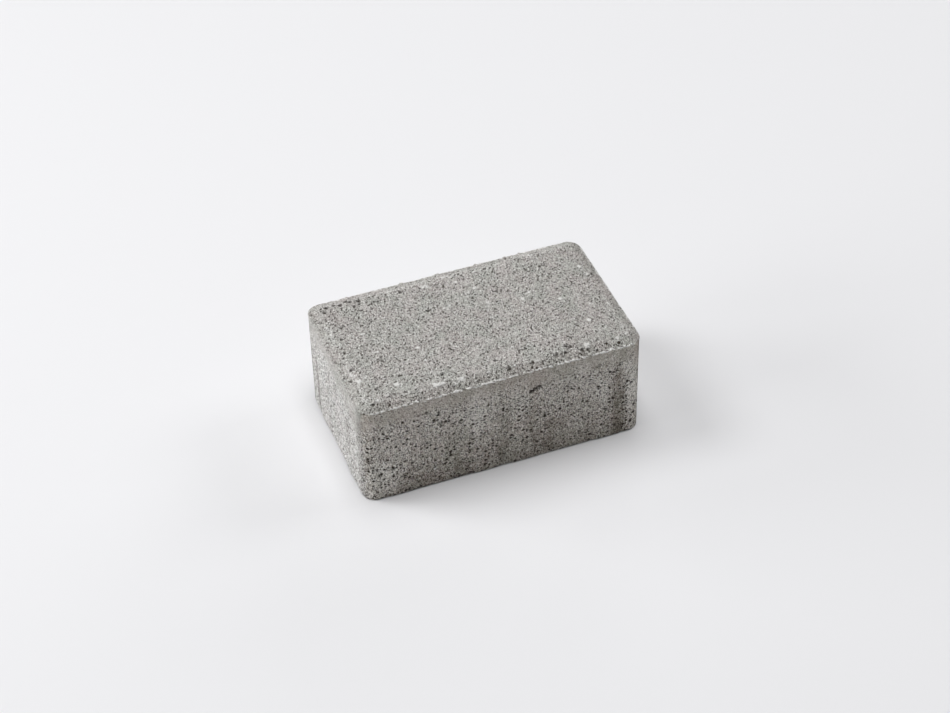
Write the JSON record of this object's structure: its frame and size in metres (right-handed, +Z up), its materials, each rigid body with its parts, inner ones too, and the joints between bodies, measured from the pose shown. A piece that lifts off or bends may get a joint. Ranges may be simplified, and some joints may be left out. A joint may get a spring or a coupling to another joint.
{
  "type": "concrete paving stone",
  "caption": "Rectangular concrete paving stone with a chamfered rim, rounded upright corners and low spacer lugs on its sides.",
  "frame": {"origin": "middle of the bed face, on the level that the stone lies on", "axes": "+X along the length, +Y across the width, +Z up, towards the chamfered wearing face"},
  "size_m": [0.199, 0.119, 0.08],
  "materials": {
    "concrete": "matte"
  },
  "bodies": {
    "root": {"paving_stone": "concrete"}
  },
  "joints": []
}
